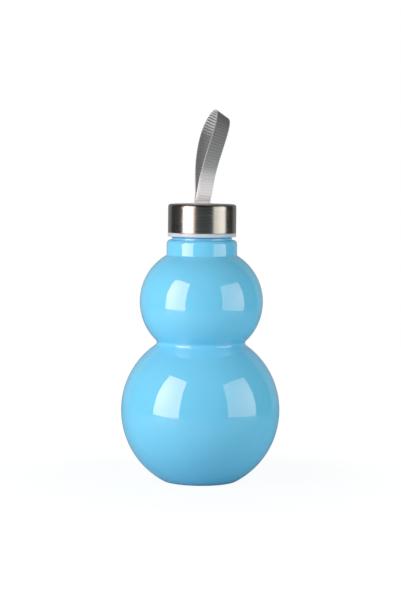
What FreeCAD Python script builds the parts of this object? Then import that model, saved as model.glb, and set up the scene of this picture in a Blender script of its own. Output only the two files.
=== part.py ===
import FreeCAD, Part
import math
import os
import Sketcher

# Gourd water bottle: a two-bulb bottle with a threaded neck, and a steel-clad screw cap with a ribbon loop.
# Millimetres, +Z up along the bottle's axis, origin at the middle of the base on the surface it stands on.
# The ribbon's width lies along X, and the loop leans sideways to +X.

SIZES = {
    # bottle: outside of the two bulbs
    "lower_radius": 47.7,
    "heel_arc": 48.5,
    "foot_radius": 22.0,
    "upper_radius": 36.95,
    "upper_arc": 32.4,
    "bulb_overlap": 14.64,
    "waist_fillet": 2.1,
    "heel_fillet": 3.0,
    # bottle: walls and base
    "wall": 2.5,
    "base_wall": 5.0,
    "floor_fillet": 6.0,
    "standing_ring": 7.0,
    "push_up_depth": 1.4,
    # bottle: collar and neck
    "collar_step": 3.2,
    "collar_height": 9.34,
    "collar_fillet": 1.8,
    "collar_root_fillet": 1.0,
    "ring_step": 1.3,
    "ring_height": 1.5,
    "ring_fillet": 0.5,
    "neck_radius": 16.6,
    "neck_wall": 2.4,
    "lip_room": 1.7,
    "throat_fillet": 3.0,
    "lip_fillet": 0.8,
    # screw thread, the same ridge on the neck and in the liner
    "thread_pitch": 4.0,
    "ridge_height": 1.0,
    "ridge_root": 2.0,
    "ridge_crest": 0.9,
    "ridge_sink": 0.3,
    "thread_play": 0.4,
    "flank_play": 0.3,
    "thread_rise": 2.4,
    "neck_turns": 1.5,
    "liner_turns": 1.25,
    # cap: seal, liner and shell
    "cap_gap": 0.3,
    "seal_lap": 0.6,
    "seal_thickness": 2.0,
    "seal_play": 0.3,
    "seal_fillet": 0.4,
    "deck_thickness": 1.6,
    "flange_step": 0.1,
    "flange_height": 2.4,
    "flange_fillet": 0.6,
    "liner_wall": 1.7,
    "liner_fit": 0.2,
    "upstand_step": 2.2,
    "upstand_width": 2.0,
    "shell_wall": 0.5,
    "shell_fillet": 1.6,
    # strap: grommet, pin and ribbon
    "ribbon_width": 10.0,
    "ribbon_thickness": 0.8,
    "grommet_play": 0.15,
    "grommet_end": 0.7,
    "grommet_wall": 0.3,
    "grommet_lap": 0.35,
    "grommet_rim": 0.7,
    "grommet_catch": 0.4,
    "pin_radius": 0.8,
    "pin_end": 2.0,
    "eye_play": 0.1,
    "eye_gap": 0.1,
    "eye_room": 0.6,
    "tail_set": 0.1,
    "bend_gap": 0.3,
    "run_gap": 0.2,
    "loop_height": 52.4,
    "loop_opening": 14.0,
    "loop_lean": 12.5,
    "thread_radius": 0.2,
    "stitch_length": 1.2,
    "stitch_margin": 0.8,
    "stitch_rise": 1.5,
    "stitch_gap": 0.2,
}
STITCHES_PER_ROW = 5
LOOP_STATIONS = 33
WIDEST_TURN = 2 * math.pi / 3
NEAR = 1e-3
ON_AXIS = None
UPWARD = FreeCAD.Vector(0, 0, 1)


class Size:
    """A size that carries its number and the sheet expression that it comes from."""

    def __init__(self, number, text):
        self.number = number
        self.text = text

    def joined(self, other, sign, number):
        text = other.text if isinstance(other, Size) else str(other)
        return Size(number, f"({self.text} {sign} {text})")

    def __add__(self, other):
        return self.joined(other, "+", self.number + amount(other))

    def __sub__(self, other):
        return self.joined(other, "-", self.number - amount(other))

    def __mul__(self, other):
        return self.joined(other, "*", self.number * amount(other))

    def __truediv__(self, other):
        return self.joined(other, "/", self.number / amount(other))

    def less_square(self, other):
        """The third side of a right triangle that has this as its long side."""
        number = math.sqrt(self.number**2 - other.number**2)
        return Size(number, f"sqrt({self.text} ^ 2 - {other.text} ^ 2)")


def amount(value):
    """The plain number of a size or of a number."""
    return value.number if isinstance(value, Size) else value


def make_sheet(doc):
    """Puts the driving sizes into a sheet and returns each as a Size under its own name."""
    sheet = doc.addObject("Spreadsheet::Sheet", "Sizes")
    for row, (name, number) in enumerate(SIZES.items(), start=1):
        sheet.set(f"A{row}", name)
        sheet.set(f"B{row}", str(number))
        sheet.setAlias(f"B{row}", name)
    doc.recompute()
    return {name: Size(float(sheet.get(name)), f"Sizes.{name}") for name in SIZES}


# Sketch helpers: every corner, centre and radius is held by a size of the sheet.


def new_body(label):
    return doc.addObject("PartDesign::Body", label)


def origin_feature(body, role):
    return next(f for f in body.Origin.OriginFeatures if f.Role == role)


def new_sketch(body, plane, name, offset=None):
    """A sketch on one of the body's origin planes, moved along the plane's normal by offset."""
    sketch = body.newObject("Sketcher::SketchObject", name)
    sketch.AttachmentSupport = [(origin_feature(body, plane), "")]
    sketch.MapMode = "FlatFace"
    if offset:
        sketch.setExpression("AttachmentOffset.Base.z", offset.text)
    return sketch


def hold(sketch, kind, places, size):
    """Adds a driving constraint and binds it to a size."""
    index = sketch.addConstraint(Sketcher.Constraint(kind, *places, size.number))
    sketch.setExpression(f"Constraints[{index}]", size.text)


def hold_point(sketch, geometry, end, across, up):
    """Holds a point at a distance across and up from the sketch's origin, or on the axis itself."""
    for kind, axis, size in (("DistanceX", -2, across), ("DistanceY", -1, up)):
        if size is ON_AXIS:
            sketch.addConstraint(Sketcher.Constraint("PointOnObject", geometry, end, axis))
        else:
            hold(sketch, kind, (geometry, end), size)


def corner_vector(across, up):
    values = [0.0 if size is ON_AXIS else size.number for size in (across, up)]
    return FreeCAD.Vector(values[0], values[1], 0)


def join(sketch, first, second):
    """Makes the end of one edge the start of the next."""
    sketch.addConstraint(Sketcher.Constraint("Coincident", first, 2, second, 1))


def add_polygon(sketch, corners):
    """A closed outline of straight edges through corners given as (across, up)."""
    points = [corner_vector(*corner) for corner in corners]
    count = len(points)
    for index in range(count):
        sketch.addGeometry(Part.LineSegment(points[index], points[(index + 1) % count]))
    for index in range(count):
        join(sketch, index, (index + 1) % count)
    for index, corner in enumerate(corners):
        hold_point(sketch, index, 1, *corner)


def add_circle(sketch, across, up, radius):
    centre = corner_vector(across, up)
    index = sketch.addGeometry(Part.Circle(centre, UPWARD, radius.number))
    hold_point(sketch, index, 3, across, up)
    hold(sketch, "Radius", (index,), radius)


def add_stadium(sketch, length, width):
    """A slot outline about the origin: two half circles joined by straight sides along the first axis."""
    radius = width / 2
    spread = length - width
    across = FreeCAD.Vector(spread.number / 2, 0, 0)
    up = FreeCAD.Vector(0, radius.number, 0)
    quarter = math.pi / 2
    right_circle = Part.Circle(across, UPWARD, radius.number)
    left_circle = Part.Circle(-across, UPWARD, radius.number)
    right = sketch.addGeometry(Part.ArcOfCircle(right_circle, -quarter, quarter))
    top = sketch.addGeometry(Part.LineSegment(across + up, up - across))
    left = sketch.addGeometry(Part.ArcOfCircle(left_circle, quarter, 3 * quarter))
    bottom = sketch.addGeometry(Part.LineSegment(-across - up, across - up))
    for first, second in ((right, top), (top, left), (left, bottom), (bottom, right)):
        sketch.addConstraint(Sketcher.Constraint("Tangent", first, 2, second, 1))
    sketch.addConstraint(Sketcher.Constraint("PointOnObject", right, 3, -1))
    sketch.addConstraint(Sketcher.Constraint("Symmetric", right, 3, left, 3, -1, 1))
    hold(sketch, "DistanceX", (left, 3, right, 3), spread)
    hold(sketch, "Radius", (right,), radius)


# Feature helpers


def turned(body, kind, name, sketch):
    """A full revolution or groove of a sketch about the bottle's axis."""
    before = body.Tip.Shape.Volume if body.Tip else 0
    feature = body.newObject(f"PartDesign::{kind}", name)
    feature.Profile = sketch
    feature.ReferenceAxis = (sketch, ["V_Axis"])
    feature.Angle = 360
    doc.recompute()
    if kind == "Groove" and feature.Shape.Volume > before - NEAR:
        raise RuntimeError(f"{name} cut nothing")
    return feature


def padded(body, name, sketch, length, midplane=False):
    feature = body.newObject("PartDesign::Pad", name)
    feature.Profile = sketch
    feature.Midplane = midplane
    feature.setExpression("Length", length.text)
    doc.recompute()
    return feature


def pocketed(body, name, sketch, depth):
    """A pocket that goes down from its sketch, checked by the volume that it takes away."""
    before = body.Tip.Shape.Volume
    feature = body.newObject("PartDesign::Pocket", name)
    feature.Profile = sketch
    feature.setExpression("Length", depth.text)
    doc.recompute()
    if feature.Shape.Volume > before - NEAR:
        raise RuntimeError(f"{name} cut nothing")
    return feature


def ring_edge(shape, radius, height):
    """The name of the circular edge round the axis at this radius and height."""
    for index, edge in enumerate(shape.Edges, start=1):
        if edge.Degenerated or not isinstance(edge.Curve, Part.Circle):
            continue
        curve = edge.Curve
        if abs(curve.Radius - radius) < NEAR and abs(curve.Center.z - height) < NEAR:
            return f"Edge{index}"
    raise RuntimeError(f"no edge at radius {radius} and height {height}")


def rounded(body, name, places, radius):
    """Rounds the circular edges found at the given (radius, height) places."""
    base = body.Tip
    edges = [ring_edge(base.Shape, across, up) for across, up in places]
    feature = body.newObject("PartDesign::Fillet", name)
    feature.Base = (base, edges)
    feature.setExpression("Radius", radius.text)
    doc.recompute()
    return feature


def numbers(*sizes):
    return tuple(size.number for size in sizes)


def add_thread(body, name, root, crest, height, turns):
    """A ridge of trapezoid section that winds right-handed up the axis from the +X side."""
    half_root = s["ridge_root"] / 2
    half_crest = s["ridge_crest"] / 2
    sketch = new_sketch(body, "XZ_Plane", f"{name}_section")
    corners = [
        (root, height - half_root),
        (crest, height - half_crest),
        (crest, height + half_crest),
        (root, height + half_root),
    ]
    add_polygon(sketch, corners)
    doc.recompute()
    helix = body.newObject("PartDesign::AdditiveHelix", name)
    helix.Profile = sketch
    helix.ReferenceAxis = (sketch, ["V_Axis"])
    helix.Mode = "pitch-turns-angle"
    helix.LeftHanded = False
    helix.setExpression("Pitch", s["thread_pitch"].text)
    helix.setExpression("Turns", turns.text)
    doc.recompute()


# Bottle


def circle_meeting(low, high):
    """Where two circles about (x, z, radius) cross on the side away from the axis."""
    x0, z0, r0 = low
    x1, z1, r1 = high
    gap = math.hypot(x1 - x0, z1 - z0)
    along = (gap**2 + r0**2 - r1**2) / (2 * gap)
    off = math.sqrt(r0**2 - along**2)
    ux, uz = (x1 - x0) / gap, (z1 - z0) / gap
    return x0 + along * ux + off * uz, z0 + along * uz - off * ux


def circle_arc(centre, radius, start, end):
    """An arc about centre that runs anticlockwise from one point to another."""
    angles = [math.atan2(z - centre[1], x - centre[0]) for x, z in (start, end)]
    circle = Part.Circle(FreeCAD.Vector(*centre, 0), UPWARD, radius)
    return Part.ArcOfCircle(circle, *angles)


def add_gourd_outline(sketch, inset, floor, throat, neck):
    """Half the gourd's outline: floor, heel arc, lower ball, upper arc and the neck's corners up to the axis.

    inset is how far inside the outer skin it lies. Returns the corners at the floor, waist and throat.
    """
    ball_radius = s["lower_radius"] - inset
    upper_radius = s["upper_arc"] - inset
    heel_radius = s["heel_arc"] - inset
    low, high = lower_height, upper_height
    floor_z = 0.0 if floor is ON_AXIS else floor.number
    floor_x = heel_x.number + math.sqrt(heel_radius.number**2 - (low.number - floor_z) ** 2)
    throat_z = high.number + math.sqrt(upper_radius.number**2 - (throat.number - upper_x.number) ** 2)
    ball = (0.0, low.number, ball_radius.number)
    waist = circle_meeting(ball, numbers(upper_x, high, upper_radius))
    equator = numbers(ball_radius, low)
    foot = (floor_x, floor_z)
    mouth = (throat.number, throat_z)
    points = [FreeCAD.Vector(*mouth, 0)] + [corner_vector(*corner) for corner in neck]
    floor_middle = FreeCAD.Vector(0, floor_z, 0)

    sketch.addGeometry(Part.LineSegment(floor_middle, FreeCAD.Vector(*foot, 0)))
    sketch.addGeometry(circle_arc(numbers(heel_x, low), heel_radius.number, foot, equator))
    sketch.addGeometry(circle_arc((0.0, low.number), ball_radius.number, equator, waist))
    sketch.addGeometry(circle_arc(numbers(upper_x, high), upper_radius.number, waist, mouth))
    for start, end in zip(points, points[1:] + [floor_middle]):
        sketch.addGeometry(Part.LineSegment(start, end))
    count = sketch.GeometryCount
    for index in range(count):
        join(sketch, index, (index + 1) % count)

    sketch.addConstraint(Sketcher.Constraint("Horizontal", 0))
    hold_point(sketch, 0, 1, ON_AXIS, floor)
    hold_point(sketch, 1, 3, heel_x, low)
    hold(sketch, "DistanceY", (2, 1), low)
    hold_point(sketch, 2, 3, ON_AXIS, low)
    hold(sketch, "Radius", (2,), ball_radius)
    hold_point(sketch, 3, 3, upper_x, high)
    hold(sketch, "Radius", (3,), upper_radius)
    hold(sketch, "DistanceX", (4, 1), throat)
    for index, corner in enumerate(neck, start=5):
        hold_point(sketch, index, 1, *corner)
    doc.recompute()
    return [tuple(sketch.getPoint(index, 2))[:2] for index in (0, 2, 3)]


def make_bottle():
    body = new_body("bottle_body")
    outside = new_sketch(body, "XZ_Plane", "bottle_outside")
    neck = [
        (collar_radius, collar_top),
        (ring_radius, collar_top),
        (ring_radius, ring_top),
        (s["neck_radius"], ring_top),
        (s["neck_radius"], lip),
        (ON_AXIS, lip),
    ]
    no_inset = s["wall"] * 0
    foot, waist, collar_root = add_gourd_outline(outside, no_inset, ON_AXIS, collar_radius, neck)
    turned(body, "Revolution", "bottle_solid", outside)

    inside = new_sketch(body, "XZ_Plane", "bottle_inside")
    above_lip = lip + s["wall"]
    mouth = [(neck_bore, above_lip), (ON_AXIS, above_lip)]
    floor, inner_waist, throat = add_gourd_outline(inside, s["wall"], s["base_wall"], neck_bore, mouth)
    turned(body, "Groove", "bottle_hollow", inside)

    recess = new_sketch(body, "XZ_Plane", "push_up_section")
    add_push_up(recess)
    turned(body, "Groove", "push_up", recess)

    rounded(body, "waist_round", [waist, inner_waist], s["waist_fillet"])
    rounded(body, "heel_round", [foot], s["heel_fillet"])
    rounded(body, "floor_round", [floor], s["floor_fillet"])
    rounded(body, "throat_round", [throat], s["throat_fillet"])
    rounded(body, "collar_root_round", [collar_root], s["collar_root_fillet"])
    rounded(body, "collar_round", [numbers(collar_radius, collar_top)], s["collar_fillet"])
    rounded(body, "ring_round", [numbers(ring_radius, ring_top)], s["ring_fillet"])
    lip_edges = [numbers(s["neck_radius"], lip), numbers(neck_bore, lip)]
    rounded(body, "lip_round", lip_edges, s["lip_fillet"])
    ridge_root = s["neck_radius"] - s["ridge_sink"]
    add_thread(body, "neck_thread", ridge_root, neck_crest, thread_start, s["neck_turns"])
    return body


def add_push_up(sketch):
    """The shallow dome under the base: a flat chord on the floor and an arc with its centre on the axis."""
    reach, depth = numbers(push_up_radius, s["push_up_depth"])
    radius = (reach**2 + depth**2) / (2 * depth)
    centre = (0.0, depth - radius)
    rim, crown = (reach, 0.0), (0.0, depth)
    sketch.addGeometry(Part.LineSegment(FreeCAD.Vector(0, 0, 0), FreeCAD.Vector(*rim, 0)))
    sketch.addGeometry(circle_arc(centre, radius, rim, crown))
    sketch.addGeometry(Part.LineSegment(FreeCAD.Vector(*crown, 0), FreeCAD.Vector(0, 0, 0)))
    for index in range(3):
        join(sketch, index, (index + 1) % 3)
    hold_point(sketch, 0, 1, ON_AXIS, ON_AXIS)
    hold_point(sketch, 1, 1, push_up_radius, ON_AXIS)
    hold_point(sketch, 2, 1, ON_AXIS, s["push_up_depth"])
    sketch.addConstraint(Sketcher.Constraint("PointOnObject", 1, 3, -2))


# Cap


def make_seal():
    body = new_body("seal_ring")
    sketch = new_sketch(body, "XZ_Plane", "seal_section")
    edge = liner_bore - s["seal_play"]
    bore = seal_bore
    add_polygon(sketch, [(bore, lip), (edge, lip), (edge, deck_under), (bore, deck_under)])
    turned(body, "Revolution", "seal_solid", sketch)
    corners = [numbers(across, up) for across in (bore, edge) for up in (lip, deck_under)]
    rounded(body, "seal_round", corners, s["seal_fillet"])
    return body


def make_liner():
    """The threaded liner. It is turned half round so that its ridge starts on the -X side."""
    body = new_body("cap_liner")
    sketch = new_sketch(body, "XZ_Plane", "liner_section")
    upstand_bore = upstand_radius - s["upstand_width"]
    corners = [
        (liner_bore, skirt),
        (flange_radius, skirt),
        (flange_radius, flange_top),
        (liner_radius, flange_top),
        (liner_radius, deck_top),
        (upstand_radius, deck_top),
        (upstand_radius, shell_under),
        (upstand_bore, shell_under),
        (upstand_bore, deck_top),
        (ON_AXIS, deck_top),
        (ON_AXIS, deck_under),
        (liner_bore, deck_under),
    ]
    add_polygon(sketch, corners)
    turned(body, "Revolution", "liner_solid", sketch)
    rim = [numbers(flange_radius, up) for up in (skirt, flange_top)]
    rounded(body, "flange_round", rim, s["flange_fillet"])
    ridge_root = liner_bore + s["ridge_sink"]
    ridge_crest = liner_bore - s["ridge_height"]
    add_thread(body, "liner_thread", ridge_root, ridge_crest, liner_start, s["liner_turns"])
    body.Placement = FreeCAD.Placement(FreeCAD.Vector(), FreeCAD.Rotation(UPWARD, 180))
    return body


def make_shell():
    """The drawn steel cup over the liner, with the ribbon's slot in its top."""
    body = new_body("cap_shell")
    sketch = new_sketch(body, "XZ_Plane", "shell_section")
    corners = [
        (shell_bore, flange_top),
        (shell_radius, flange_top),
        (shell_radius, shell_top),
        (ON_AXIS, shell_top),
        (ON_AXIS, shell_under),
        (shell_bore, shell_under),
    ]
    add_polygon(sketch, corners)
    turned(body, "Revolution", "shell_cup", sketch)
    rounded(body, "shell_round", [numbers(shell_radius, shell_top)], s["shell_fillet"])
    inner_fillet = s["shell_fillet"] - s["shell_wall"]
    rounded(body, "shell_inner_round", [numbers(shell_bore, shell_under)], inner_fillet)
    slot = new_sketch(body, "XY_Plane", "slot_outline", shell_top)
    add_stadium(slot, sleeve_length, sleeve_width)
    pocketed(body, "slot", slot, s["shell_wall"] * 2)
    return body


# Strap


def make_grommet():
    """The flanged bush in the slot: a rim above the steel, a sleeve through it and a catch below."""
    body = new_body("strap_grommet")
    catch = new_sketch(body, "XY_Plane", "catch_outline", grommet_under)
    add_stadium(catch, rim_length, rim_width)
    padded(body, "grommet_catch", catch, s["grommet_catch"])
    sleeve = new_sketch(body, "XY_Plane", "sleeve_outline", grommet_under)
    add_stadium(sleeve, sleeve_length, sleeve_width)
    padded(body, "grommet_sleeve", sleeve, grommet_top - grommet_under)
    rim = new_sketch(body, "XY_Plane", "rim_outline", shell_top)
    add_stadium(rim, rim_length, rim_width)
    padded(body, "grommet_rim", rim, s["grommet_rim"])
    opening = new_sketch(body, "XY_Plane", "opening_outline", grommet_top)
    add_stadium(opening, opening_length, opening_width)
    pocketed(body, "grommet_opening", opening, grommet_top - grommet_under)
    return body


def make_pin():
    """The cross pin in the ribbon's eye, along X."""
    pin = doc.addObject("Part::Cylinder", "strap_pin")
    pin.setExpression("Radius", s["pin_radius"].text)
    pin.setExpression("Height", pin_length.text)
    pin.Placement = FreeCAD.Placement(FreeCAD.Vector(), FreeCAD.Rotation(FreeCAD.Vector(0, 1, 0), 90))
    pin.setExpression("Placement.Base.x", f"-{pin_length.text} / 2")
    pin.setExpression("Placement.Base.z", eye_height.text)
    return pin


def make_tail():
    """The ribbon inside the cap: an eye round the pin, and both layers up through the grommet."""
    body = new_body("strap_tail")
    layers = s["ribbon_thickness"] * 2
    eye = new_sketch(body, "YZ_Plane", "eye_outline")
    add_circle(eye, ON_AXIS, eye_height, eye_radius)
    add_circle(eye, ON_AXIS, eye_height, eye_radius - s["ribbon_thickness"])
    padded(body, "ribbon_eye", eye, s["ribbon_width"], midplane=True)
    stem = new_sketch(body, "XY_Plane", "stem_outline", eye_height + eye_radius - s["ribbon_thickness"] / 2)
    add_rectangle(stem, s["ribbon_width"], layers)
    padded(body, "ribbon_stem", stem, tail_top - eye_height - eye_radius + s["ribbon_thickness"] / 2)
    return body


def add_rectangle(sketch, length, width):
    """A rectangle about the origin."""
    x, y = length.number / 2, width.number / 2
    points = [FreeCAD.Vector(*corner, 0) for corner in ((-x, -y), (x, -y), (x, y), (-x, y))]
    for index in range(4):
        sketch.addGeometry(Part.LineSegment(points[index], points[(index + 1) % 4]))
    for index in range(4):
        join(sketch, index, (index + 1) % 4)
    for index, direction in enumerate(("Horizontal", "Vertical", "Horizontal", "Vertical")):
        sketch.addConstraint(Sketcher.Constraint(direction, index))
    sketch.addConstraint(Sketcher.Constraint("Symmetric", 0, 1, 2, 1, -1, 1))
    hold(sketch, "DistanceX", (0, 1, 0, 2), length)
    hold(sketch, "DistanceY", (1, 1, 1, 2), width)


def loop_frame(turn):
    """The ribbon's middle, width direction and thickness direction at one place of the loop.

    turn goes from 0 at the front root through pi at the crest to 2 pi at the back root. The side view is a
    teardrop, and the loop leans to +X by a parabola of its height, with the ribbon square to its own line.
    """
    height, lean = numbers(s["loop_height"], s["loop_lean"])
    rise = height * (1 - math.cos(turn)) / 2
    front = root_offset.number * math.cos(turn / 2) + bulge * math.sin(turn) * math.sin(turn / 2) ** 2
    slope = 2 * lean * rise / height**2
    middle = FreeCAD.Vector(lean * (rise / height) ** 2, -front, strap_axis.number + rise)
    climb = height * math.cos(turn / 2)
    along = FreeCAD.Vector(slope * climb, root_offset.number / 2 - bulge * math.sin(1.5 * turn), climb)
    across = FreeCAD.Vector(1, 0, -slope).normalize()
    return middle, across, along.normalize().cross(across)


def make_loop():
    """The ribbon above the cap: a flat strip carried round the loop, with its runs sewn to a round root."""
    sections = []
    half_width = s["ribbon_width"].number / 2
    half_thickness = s["ribbon_thickness"].number / 2
    for station in range(LOOP_STATIONS):
        middle, across, out = loop_frame(2 * math.pi * station / (LOOP_STATIONS - 1))
        signs = ((-1, -1), (1, -1), (1, 1), (-1, 1))
        corners = [middle + across * half_width * a + out * half_thickness * b for a, b in signs]
        sections.append(Part.makePolygon(corners + corners[:1]))
    solid, ruled = True, True
    strip = Part.makeLoft(sections, solid, ruled)
    start = FreeCAD.Vector(-half_width, 0, strap_axis.number)
    root = Part.makeCylinder(s["ribbon_thickness"].number, 2 * half_width, start, FreeCAD.Vector(1, 0, 0))
    loop = doc.addObject("Part::Feature", "strap_loop")
    loop.Shape = strip.fuse(root).removeSplitter()
    loop.Placement = FreeCAD.Placement()
    return loop


def make_stitches():
    """Two rows of thread, on the front and the back of the ribbon's root."""
    body = new_body("strap_stitches")
    body.AllowCompound = True
    first = s["stitch_margin"] - s["ribbon_width"] / 2
    sketch = new_sketch(body, "YZ_Plane", "stitch_section", first)
    off = root_offset + s["ribbon_thickness"] / 2 + s["stitch_gap"] + s["thread_radius"]
    height = strap_axis + s["stitch_rise"]
    add_circle(sketch, off, height, s["thread_radius"])
    behind = FreeCAD.Vector(-off.number, height.number, 0)
    back = sketch.addGeometry(Part.Circle(behind, UPWARD, s["thread_radius"].number))
    sketch.addConstraint(Sketcher.Constraint("Symmetric", 0, 3, back, 3, -2))
    sketch.addConstraint(Sketcher.Constraint("Equal", 0, back))
    stitch = padded(body, "stitch_pair", sketch, s["stitch_length"])
    row = body.newObject("PartDesign::LinearPattern", "stitch_rows")
    row.Originals = [stitch]
    row.Direction = (sketch, ["N_Axis"])
    row.Occurrences = STITCHES_PER_ROW
    row.setExpression("Length", (s["ribbon_width"] - s["stitch_margin"] * 2 - s["stitch_length"]).text)
    body.Tip = row
    doc.recompute()
    return body


doc = FreeCAD.newDocument("gourd_bottle")
s = make_sheet(doc)

# Neck and collar radii
neck_bore = s["neck_radius"] - s["neck_wall"]
ring_radius = s["neck_radius"] + s["ring_step"]
collar_radius = ring_radius + s["collar_step"]
seal_bore = neck_bore - s["seal_lap"]

# Bulbs: the heel arc meets the floor at the foot, and the two bulbs run into each other by their overlap
heel_x = s["lower_radius"] - s["heel_arc"]
upper_x = s["upper_radius"] - s["upper_arc"]
centre_gap = s["lower_radius"] + s["upper_arc"] - s["bulb_overlap"]
lower_height = s["heel_arc"].less_square(s["foot_radius"] - heel_x)
upper_height = lower_height + centre_gap.less_square(upper_x)
shoulder = upper_height + s["upper_arc"].less_square(collar_radius - upper_x)
push_up_radius = s["foot_radius"] - s["standing_ring"]

# Heights that pieces share
collar_top = shoulder + s["collar_height"]
ring_top = collar_top + s["ring_height"]
thread_start = ring_top + s["thread_rise"]
lip = thread_start + s["thread_pitch"] * s["neck_turns"] + s["ridge_root"] / 2 + s["lip_room"]
deck_under = lip + s["seal_thickness"]
deck_top = deck_under + s["deck_thickness"]
eye_radius = s["pin_radius"] + s["eye_play"] + s["ribbon_thickness"]
eye_height = deck_top + s["eye_room"] + eye_radius
shell_under = eye_height + eye_radius + s["eye_gap"] + s["grommet_catch"]
shell_top = shell_under + s["shell_wall"]
skirt = ring_top + s["cap_gap"]
flange_top = skirt + s["flange_height"]
grommet_under = shell_under - s["grommet_catch"]
grommet_top = shell_top + s["grommet_rim"]
tail_top = grommet_top - s["tail_set"]
strap_axis = tail_top + s["bend_gap"] + s["ribbon_thickness"]

# Radii and lengths that pieces share
neck_crest = s["neck_radius"] + s["ridge_height"]
liner_bore = neck_crest + s["thread_play"]
liner_radius = liner_bore + s["liner_wall"]
upstand_radius = liner_radius - s["upstand_step"]
shell_bore = liner_radius + s["liner_fit"]
shell_radius = shell_bore + s["shell_wall"]
flange_radius = shell_radius + s["flange_step"]
pin_length = s["ribbon_width"] + s["pin_end"] * 2
opening_length = s["ribbon_width"] + s["grommet_end"] * 2
opening_width = s["ribbon_thickness"] * 2 + s["grommet_play"] * 2
sleeve_length = opening_length + s["grommet_wall"] * 2
sleeve_width = opening_width + s["grommet_wall"] * 2
rim_length = sleeve_length + s["grommet_lap"] * 2
rim_width = sleeve_width + s["grommet_lap"] * 2

# Thread: closed, the liner's ridge bears up under the neck's ridge with a play between the flanks
flank_slope = (s["ridge_root"] - s["ridge_crest"]) / 2 / s["ridge_height"]
ridge_step = s["ridge_root"] - flank_slope * (s["ridge_height"] + s["thread_play"]) + s["flank_play"]
liner_start = thread_start - ridge_step + s["thread_pitch"] / 2

# Loop: the runs start side by side, and the bulge gives the opening between them where it is widest
root_offset = (s["ribbon_thickness"] + s["run_gap"]) / 2
half_opening = (s["loop_opening"].number + s["ribbon_thickness"].number) / 2
bulge = half_opening - root_offset.number * math.cos(WIDEST_TURN / 2)
bulge = bulge / (math.sin(WIDEST_TURN) * math.sin(WIDEST_TURN / 2) ** 2)

makers = [
    make_bottle,
    make_seal,
    make_liner,
    make_shell,
    make_grommet,
    make_pin,
    make_tail,
    make_loop,
    make_stitches,
]
nodes = [maker() for maker in makers]
doc.recompute()

for item in doc.Objects:
    if "Invalid" in item.State or "Error" in item.State:
        raise RuntimeError(f"{item.Label} failed: {item.State}")
for node in nodes:
    if node.Shape.isNull() or not node.Shape.isValid():
        raise RuntimeError(f"{node.Label} has no valid shape")

os.makedirs("parts", exist_ok=True)
for node in nodes:
    node.Shape.exportStep(f"parts/{node.Label}.step")
    solids = len(node.Shape.Solids)
    print(f"{node.Label}: {solids} solid(s), {node.Shape.Volume / 1000:.3f} cm3")
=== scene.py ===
import math

import bpy
import numpy as np
from bpy.props import FloatProperty, FloatVectorProperty, PointerProperty
from mathutils import Matrix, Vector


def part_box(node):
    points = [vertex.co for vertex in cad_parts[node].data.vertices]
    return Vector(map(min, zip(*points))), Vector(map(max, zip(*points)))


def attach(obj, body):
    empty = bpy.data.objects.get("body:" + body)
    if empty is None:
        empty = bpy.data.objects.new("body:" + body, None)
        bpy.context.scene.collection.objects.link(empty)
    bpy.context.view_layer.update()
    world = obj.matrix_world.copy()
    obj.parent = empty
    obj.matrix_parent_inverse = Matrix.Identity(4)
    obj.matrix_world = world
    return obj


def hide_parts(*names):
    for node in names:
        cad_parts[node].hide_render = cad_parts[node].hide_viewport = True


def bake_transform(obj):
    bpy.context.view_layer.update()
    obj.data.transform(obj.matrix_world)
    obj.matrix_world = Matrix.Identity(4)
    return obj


bl_info = {
    "name": "Gourd Water Bottle",
    "version": (1, 0, 0),
    "blender": (4, 5, 0),
    "location": "View3D > Sidebar > Gourd Bottle",
    "description": "A two-bulb water bottle with a steel screw cap and a ribbon carry loop",
    "category": "Object",
}

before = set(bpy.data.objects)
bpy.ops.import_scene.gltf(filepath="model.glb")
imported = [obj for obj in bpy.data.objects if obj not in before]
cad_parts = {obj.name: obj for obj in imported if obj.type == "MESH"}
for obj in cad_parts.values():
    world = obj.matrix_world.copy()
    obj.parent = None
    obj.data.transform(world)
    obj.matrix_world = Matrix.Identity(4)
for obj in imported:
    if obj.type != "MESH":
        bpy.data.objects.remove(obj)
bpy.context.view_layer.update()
BOTTLE_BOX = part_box("bottle_body")
LINER_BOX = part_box("cap_liner")
SHELL_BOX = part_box("cap_shell")
SEAL_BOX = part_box("seal_ring")
GROMMET_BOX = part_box("strap_grommet")

MM = 0.001
NEAR = 1e-7
FULL_TURN = 2 * math.pi
NECK_TURNS = 1.5
LINER_TURNS = 1.25
GROMMET_WALL = 0.3 * MM


def size(name, description, default, unit="LENGTH"):
    """A number with its unit, metres if nothing else is said."""
    return FloatProperty(name=name, description=description, default=default, unit=unit, precision=5)


def colour(name, description, *levels):
    """A colour, given as red, green and blue levels from 0 to 255 as a screen shows them."""
    share = np.array(levels) / 255
    linear = np.where(share > 0.04045, ((share + 0.055) / 1.055) ** 2.4, share / 12.92).tolist()
    return FloatVectorProperty(
        name=name, description=description, default=linear, size=3, subtype="COLOR", min=0.0, max=1.0
    )


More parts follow.
